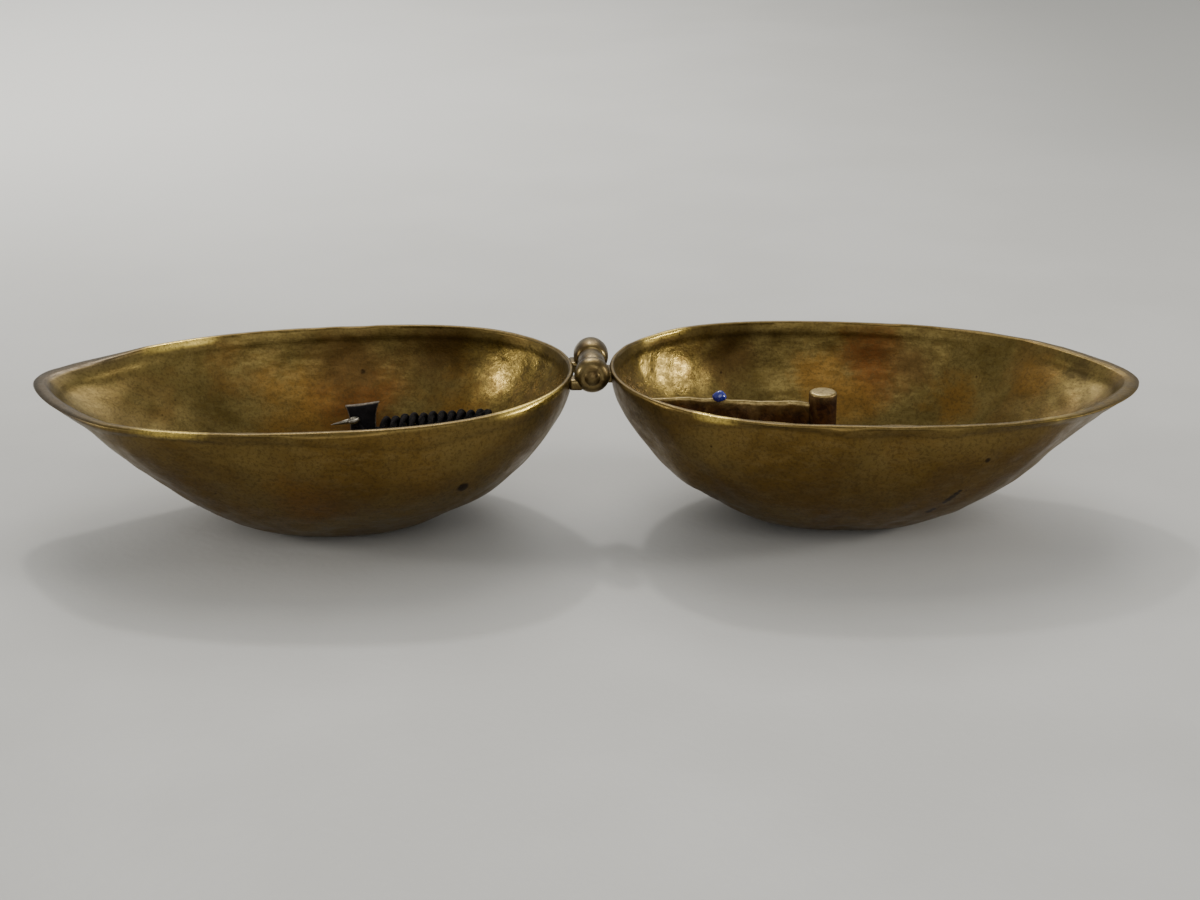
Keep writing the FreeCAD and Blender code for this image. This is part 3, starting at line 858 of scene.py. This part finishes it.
def lathe(name, outline, centre, steps=64):
    """A turned piece from an outline of radius and height."""
    points = []
    for radius, height in outline:
        for i in range(steps):
            turn = 2 * math.pi * i / steps
            points.append((centre[0] + radius * math.cos(turn), centre[1] + radius * math.sin(turn),
                           centre[2] + height))
    faces = grid_faces(len(outline), steps, True)
    return new_mesh(name, points, [tuple(reversed(face)) for face in faces])


def make_post(material):
    """The post: a turned bar with a flat top and a small worn chamfer, standing in a solder fillet."""
    radius = POST_RADIUS
    outline = [(0.01, 0.0), (radius + 1.2, 0.0), (radius + 0.55, 0.35), (radius + 0.15, 0.9), (radius, 1.7)]
    height = POST_TOP - WALL
    outline += [(radius - 0.02, height * share) for share in (0.25, 0.5, 0.75, 0.92)]
    outline += [(radius - 0.02, height - 0.5), (radius - 0.12, height - 0.22), (radius - 0.34, height - 0.05)]
    outline += [(radius - 0.6, height), (radius * 0.4, height), (0.01, height)]
    piece = lathe("case_post", outline, (POST_X, 0.0, WALL))
    heights = np.array([v.co.z for v in piece.data.vertices]) / MM
    # The edge value marks the post's top rim, where a highlight is painted.
    set_attribute(piece, "edge", np.clip((heights - (POST_TOP - 0.6)) / 0.5, 0, 1))
    return attach(piece, "right_half", "dark_brass", material, "post")


def shaded_brass_lit_edge():
    """Red-brown brass, darkened as painted shade on the sheet's faces and the post's side, with a bright edge
    where the edge value is high: rubbed wear and a painted highlight.
    """
    g = Graph("dark_brass")
    edge = g.attribute("edge")
    mottle = g.noise(2.0, 5.0, 0.65, 0.8)
    cloud = g.noise(6.0, 3.0, 0.6, 1.2)
    # Painted shade over the red-brown patina: the faces are kept dark.
    dark = g.mix(g.band(mottle, 0.36, 0.66), (0.030, 0.011, 0.004), (0.095, 0.040, 0.012))
    dark = g.mix(g.band(cloud, 0.54, 0.70), dark, (0.15, 0.085, 0.028))
    bright = g.mix(g.band(mottle, 0.35, 0.65), (0.22, 0.155, 0.050), (0.34, 0.255, 0.100))
    # The edge is painted bright, partly rubbed wear and partly a painted highlight.
    colour = g.mix(g.math("MULTIPLY", edge, g.band(g.noise(1.3, 3.0), 0.30, 0.50, 0.55, 1.0)), dark, bright)
    rough = g.math("SUBTRACT", g.band(mottle, 0.3, 0.7, 0.62, 0.42), g.math("MULTIPLY", edge, 0.16))
    normal = g.bump(mottle, 0.16, 0.6)
    normal = g.bump(g.noise(0.4, 4.0, 0.65), 0.06, 0.7, normal)
    return g.finish(colour=colour, metal=0.85, rough=rough, normal=normal)


def make_bead(material):
    """A small hand-cut bead: a squat barrel with ground facets."""
    ball = bmesh.new()
    bmesh.ops.create_icosphere(ball, subdivisions=2, radius=1.0)
    for point in ball.verts:
        up = point.co.z
        slim = 1.0 - 0.34 * max(up, 0.0)
        point.co.x *= 1.45 * slim
        point.co.y *= slim
        point.co.z = up * 1.15 + 0.10 * math.sin(3 * point.co.x)
    piece_mesh = bpy.data.meshes.new("bead")
    ball.to_mesh(piece_mesh)
    ball.free()
    piece = bpy.data.objects.new("bead", piece_mesh)
    bpy.context.scene.collection.objects.link(piece)
    seat = Vector((BEAD_X, 0, sheet_top(BEAD_X) + 0.65))
    piece_mesh.transform(Matrix.Translation(seat * MM) @ Matrix.Scale(MM, 4))
    bevel = piece.modifiers.new("soften", "BEVEL")
    bevel.width = EDGE_ROUND * MM
    bevel.segments = 2
    piece_mesh.shade_smooth()
    return attach(piece, "right_half", "blue_glass", material, "blue_bead")


# ---------------------------------------------------------------- suspension cord, tab and hook

def hank_route():
    """The cord's route: out of the tab, through the hank's core, and back in wraps round itself."""
    along = (HANK_RIGHT - HANK_LEFT).normalized()
    sideways = along.cross(Vector((0, 0, 1))).normalized()
    upward = sideways.cross(along).normalized()
    start = Vector((TAB_MIDDLE[0] + 2.4, TAB_MIDDLE[1] - 0.5, 12.2))
    route = [start, start.lerp(HANK_LEFT, 0.6)]
    route += [HANK_LEFT.lerp(HANK_RIGHT, share) for share in (0.12, 0.35, 0.6, 0.85)]
    points = HANK_TURNS * HANK_POINTS_PER_TURN
    for i in range(points + 1):
        share = i / points
        turn = 2 * math.pi * HANK_TURNS * share
        radius = HANK_CORE_RADIUS + HANK_SWELL * min(1.0, share * 1.5)
        radius += HANK_UNEVENNESS * math.sin(0.37 * turn + 1.0)
        place = HANK_RIGHT.lerp(HANK_LEFT, share * 1.05)
        route.append(place + upward * (radius * math.cos(turn)) + sideways * (radius * math.sin(turn)))
    route.append(HANK_LEFT + Vector((-2.6, -2.3, -0.9)))
    route.append(HOOK_EYE + Vector((2.4, -0.3, -3.0)))
    route.append(HOOK_EYE + Vector((0.5, 0.0, -0.9)))
    return route


def smooth_line(route):
    """Points close together along the NURBS spline that a route controls, in millimetres."""
    data = bpy.data.curves.new("route", "CURVE")
    data.dimensions = "3D"
    spline = data.splines.new("NURBS")
    spline.points.add(len(route) - 1)
    for point, place in zip(spline.points, route):
        point.co = (*(place * MM), 1.0)
    spline.order_u = 3
    spline.use_endpoint_u = True
    spline.resolution_u = 6
    holder = bpy.data.objects.new("route", data)
    bpy.context.scene.collection.objects.link(holder)
    line = bpy.data.meshes.new_from_object(holder)
    places = [v.co / MM for v in line.vertices]
    bpy.data.objects.remove(holder)
    bpy.data.meshes.remove(line)
    return places


def make_cord(material):
    """The suspension cord as a two-ply twisted tube along its route."""
    line = smooth_line(hank_route())
    points, ply = [], []
    heading = (line[1] - line[0]).normalized()
    side = heading.orthogonal().normalized()
    run = 0.0
    for i, place in enumerate(line):
        ahead = line[min(i + 1, len(line) - 1)] - line[max(i - 1, 0)]
        ahead.normalize()
        side = (side - ahead * side.dot(ahead)).normalized()
        other = ahead.cross(side)
        if i:
            run += (place - line[i - 1]).length
        twist = 2 * math.pi * run / (CORD_TWIST_PITCH * CORD_PLIES)
        for j in range(CORD_STEPS):
            turn = 2 * math.pi * j / CORD_STEPS
            lobe = abs(math.cos(CORD_PLIES * (turn - twist) / 2))
            radius = CORD_RADIUS * (0.74 + 0.26 * lobe)
            points.append(place + side * (radius * math.cos(turn)) + other * (radius * math.sin(turn)))
            ply.append(lobe)
    faces = grid_faces(len(line), CORD_STEPS, True)
    faces.append(tuple(range(CORD_STEPS)))
    faces.append(tuple(reversed(range((len(line) - 1) * CORD_STEPS, len(line) * CORD_STEPS))))
    piece = new_mesh("twisted_cord", [tuple(p) for p in points], faces)
    set_attribute(piece, "ply", ply)
    attach(piece, "suspension", "navy_cord", material, "suspension_cord")


def make_tab(material):
    """The finger tab: a stiff leather slab whose sides are hollowed and whose edges are rounded."""
    columns, rows, skins = 26, 34, 5
    points, edge = [], []
    loop = []
    for column in range(columns):
        loop.append((column / (columns - 1) * 2 - 1, -1.0))
    for skin in range(1, skins):
        loop.append((1.0, skin / skins * 2 - 1))
    for column in range(columns - 1, -1, -1):
        loop.append((column / (columns - 1) * 2 - 1, 1.0))
    for skin in range(skins - 1, 0, -1):
        loop.append((-1.0, skin / skins * 2 - 1))
    for row in range(rows):
        share = row / (rows - 1)
        z = TAB_BOTTOM + (TAB_TOP - TAB_BOTTOM) * share
        outer = TAB_HALF_BOTTOM + (TAB_HALF_TOP - TAB_HALF_BOTTOM) * share
        half = outer - (outer - TAB_HALF_WAIST) * math.sin(math.pi * share) ** 0.8
        for across, through in loop:
            slim = 1 - 0.25 * abs(across) ** 10 - 0.25 * abs(2 * share - 1) ** 14
            x = TAB_MIDDLE[0] + half * across
            bow = TAB_BOW * (1 - across ** 2)
            y = TAB_MIDDLE[1] + TAB_THICKNESS / 2 * through * slim - bow
            rise = TAB_TILT * across * share
            points.append((x, y, z + rise))
            edge.append(1.0 if abs(across) > 0.985 or row == rows - 1 else 0.0)
    size = len(loop)
    faces = grid_faces(rows, size, True)
    for base in (0, (rows - 1) * size):
        for column in range(columns - 1):
            a, b = base + column, base + column + 1
            c, d = base + (2 * columns + skins - 3 - column), base + (2 * columns + skins - 2 - column)
            faces.append((a, b, c, d))
        left = [base, base + 2 * columns + skins - 2]
        left += [base + size - 1 - k for k in range(skins - 1)][::-1]
        right = [base + columns - 1 + k for k in range(skins + 1)]
        faces.append(tuple(left))
        faces.append(tuple(right))
    piece = new_mesh("leather_tab", points, faces)
    face_outward(piece)
    set_attribute(piece, "edge", edge)
    return attach(piece, "suspension", "dark_leather", material, "finger_tab")


def make_hook(material):
    """The steel hook: a tapering shank drawn out to a point, its other end bent to an eye."""
    along = (HOOK_EYE - HOOK_TIP).normalized()
    sideways = along.cross(Vector((0, 0, 1))).normalized()
    route = [HOOK_TIP, HOOK_TIP.lerp(HOOK_EYE, 0.3), HOOK_TIP.lerp(HOOK_EYE, 0.6)]
    for i in range(HOOK_BEND_POINTS + 1):
        turn = math.radians(HOOK_BEND_FROM - HOOK_BEND * i / HOOK_BEND_POINTS)
        around = along * math.cos(turn) + sideways * math.sin(turn)
        route.append(HOOK_EYE + around * HOOK_EYE_RADIUS)
    data = bpy.data.curves.new("hook", "CURVE")
    data.dimensions = "3D"
    spline = data.splines.new("NURBS")
    spline.points.add(len(route) - 1)
    for i, (point, place) in enumerate(zip(spline.points, route)):
        point.co = (*(place * MM), 1.0)
        point.radius = min(1.0, 0.12 + 0.45 * i)
    spline.order_u = 3
    spline.use_endpoint_u = True
    data.bevel_depth = HOOK_WIRE * MM
    data.bevel_resolution = 4
    data.use_fill_caps = True
    piece = bpy.data.objects.new("wire_hook", data)
    bpy.context.scene.collection.objects.link(piece)
    return attach(piece, "suspension", "steel", material, "suspension_hook")


# ---------------------------------------------------------------- the hinge

def make_knuckle(name, side, span, outline, material):
    """A hinge knuckle turned about the barrel's axis; outline holds shares of its length and radii."""
    near, far = span
    points = []
    for share, radius in outline:
        across = near + (far - near) * share
        for i in range(KNUCKLE_STEPS):
            turn = 2 * math.pi * i / KNUCKLE_STEPS
            points.append((radius * math.cos(turn), across, AXIS_HEIGHT + radius * math.sin(turn)))
    faces = grid_faces(len(outline), KNUCKLE_STEPS, True)
    faces.append(tuple(range(KNUCKLE_STEPS)))
    faces.append(tuple(reversed(range((len(outline) - 1) * KNUCKLE_STEPS, len(outline) * KNUCKLE_STEPS))))
    piece = new_mesh(name, points, faces)
    face_outward(piece)
    return attach(piece, *HINGE_SIDES[side], material, HINGE_NODES[side])


def make_strap(name, side, span, material):
    """The short strap that joins a knuckle to the wall of its half, with rounded edges."""
    reach = (side * STRAP_FROM, side * STRAP_TO)
    points = [(x, y, z) for x in reach for y in span for z in (STRAP_BOTTOM, STRAP_TOP)]
    faces = [(0, 1, 3, 2), (4, 6, 7, 5), (0, 4, 5, 1), (2, 3, 7, 6), (0, 2, 6, 4), (1, 5, 7, 3)]
    piece = new_mesh(name, points, faces)
    face_outward(piece)
    soften = piece.modifiers.new("soften", "BEVEL")
    soften.width = STRAP_ROUND * MM
    soften.segments = 4
    return attach(piece, *HINGE_SIDES[side], material, HINGE_NODES[side])


def make_hinge(material):
    """Two rounded outer knuckles on the left half, a slimmer one between them on the right, and straps."""
    make_knuckle("near_knuckle", -1, NEAR_KNUCKLE_SPAN, NEAR_KNUCKLE, material)
    make_knuckle("far_knuckle", -1, FAR_KNUCKLE_SPAN, FAR_KNUCKLE, material)
    make_knuckle("middle_knuckle", 1, MIDDLE_KNUCKLE_SPAN, MIDDLE_KNUCKLE, material)
    make_strap("near_strap", -1, NEAR_STRAP_SPAN, material)
    make_strap("far_strap", -1, FAR_STRAP_SPAN, material)
    make_strap("middle_strap", 1, MIDDLE_STRAP_SPAN, material)


# ---------------------------------------------------------------- carried-over CAD nodes

def dress_node(name, material, bevel=EDGE_ROUND):
    """Gives a CAD node its material and softly rounded edges."""
    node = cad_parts[name]
    node.data.materials.clear()
    node.data.materials.append(material)
    soften = node.modifiers.new("soften", "BEVEL")
    soften.width = bevel * MM
    soften.segments = 3
    soften.limit_method = "ANGLE"
    soften.angle_limit = math.radians(35)
    soften.harden_normals = True


# ---------------------------------------------------------------- floor, light and camera

def make_floor(material):
    """The table top."""
    points = [(x * FLOOR_SPAN, y * FLOOR_SPAN, 0) for x, y in ((-1, -1), (1, -1), (1, 1), (-1, 1))]
    floor = new_mesh("table", points, [(0, 1, 2, 3)])
    floor.data.materials.append(material)


def add_light(name, place, target, size, energy, colour=DAYLIGHT):
    """A square soft light aimed at a target, in millimetres and watts."""
    data = bpy.data.lights.new(name, "AREA")
    data.size = size * MM
    data.energy = energy
    data.color = colour
    lamp = bpy.data.objects.new(name, data)
    lamp.location = Vector(place) * MM
    lamp.rotation_euler = (Vector(target) - Vector(place)).to_track_quat("-Z", "Y").to_euler()
    bpy.context.scene.collection.objects.link(lamp)


def light_studio():
    """Soft light from above and behind, two window glows at the sides and a weak fill."""
    add_light("key", (0, 430, 640), (0, 0, 0), 620, 4.2)
    add_light("left_window", (-950, -60, 290), (0, 0, 20), 180, 3.0)
    add_light("right_window", (950, -60, 290), (0, 0, 20), 160, 4.4)
    add_light("glint", (-120, 620, 760), (0, 0, 30), 60, 2.0)
    add_light("fill", (60, -760, 420), (0, 0, 0), 700, 3.0, SHADE_LIGHT)
    world = bpy.data.worlds.new("studio")
    world.use_nodes = True
    background = world.node_tree.nodes["Background"]
    background.inputs["Color"].default_value = SURROUNDINGS
    background.inputs["Strength"].default_value = SURROUNDINGS_STRENGTH
    bpy.context.scene.world = world


def add_camera():
    """The camera, in front of the open case and looking down at it."""
    level = math.cos(CAMERA_PITCH)
    ahead = Vector((math.sin(CAMERA_YAW) * level, math.cos(CAMERA_YAW) * level, -math.sin(CAMERA_PITCH)))
    right = Vector((math.cos(CAMERA_YAW), -math.sin(CAMERA_YAW), 0))
    up = right.cross(ahead)
    level_right = right * math.cos(CAMERA_ROLL) + up * math.sin(CAMERA_ROLL)
    level_up = up * math.cos(CAMERA_ROLL) - right * math.sin(CAMERA_ROLL)
    data = bpy.data.cameras.new("camera")
    data.sensor_width = SENSOR_WIDTH
    data.lens = SENSOR_WIDTH * FOCAL_SHARE
    data.clip_start = 0.01
    camera = bpy.data.objects.new("camera", data)
    axes = Matrix((level_right, level_up, -ahead)).transposed().to_4x4()
    camera.matrix_world = Matrix.Translation(CAMERA_PLACE * MM) @ axes
    bpy.context.scene.collection.objects.link(camera)
    bpy.context.scene.camera = camera


# ---------------------------------------------------------------- the scene

sheet_brass = case_brass()
hinge_brass = fitting_brass("hinge_brass", *HINGE_BRASS)
turned = turned_brass()
steel = dull_steel()
dark_brass = shaded_brass_lit_edge()

make_case_half("left_shell", -1, "left_half", "left_case_half", sheet_brass)
make_case_half("right_shell", 1, "right_half", "right_case_half", sheet_brass)
make_partition(dark_brass)
make_post(dark_brass)
make_bead(blue_glaze())
wire_hook = make_hook(steel)
make_cord(navy_yarn())
make_tab(black_leather())
make_hinge(hinge_brass)

for node_name in ("hinge_pin", "fork"):
    dress_node(node_name, hinge_brass)
for node_name in ("lower_pan", "upper_pan"):
    dress_node(node_name, turned)
for size_name in ("largest", "large", "small", "smallest"):
    dress_node(f"weight_{size_name}", turned)
for node_name in ("beam", "pointer", "pivot_pin", "beam_end_rings"):
    dress_node(node_name, steel, FINE_EDGE_ROUND)

make_floor(table_top())
light_studio()
add_camera()
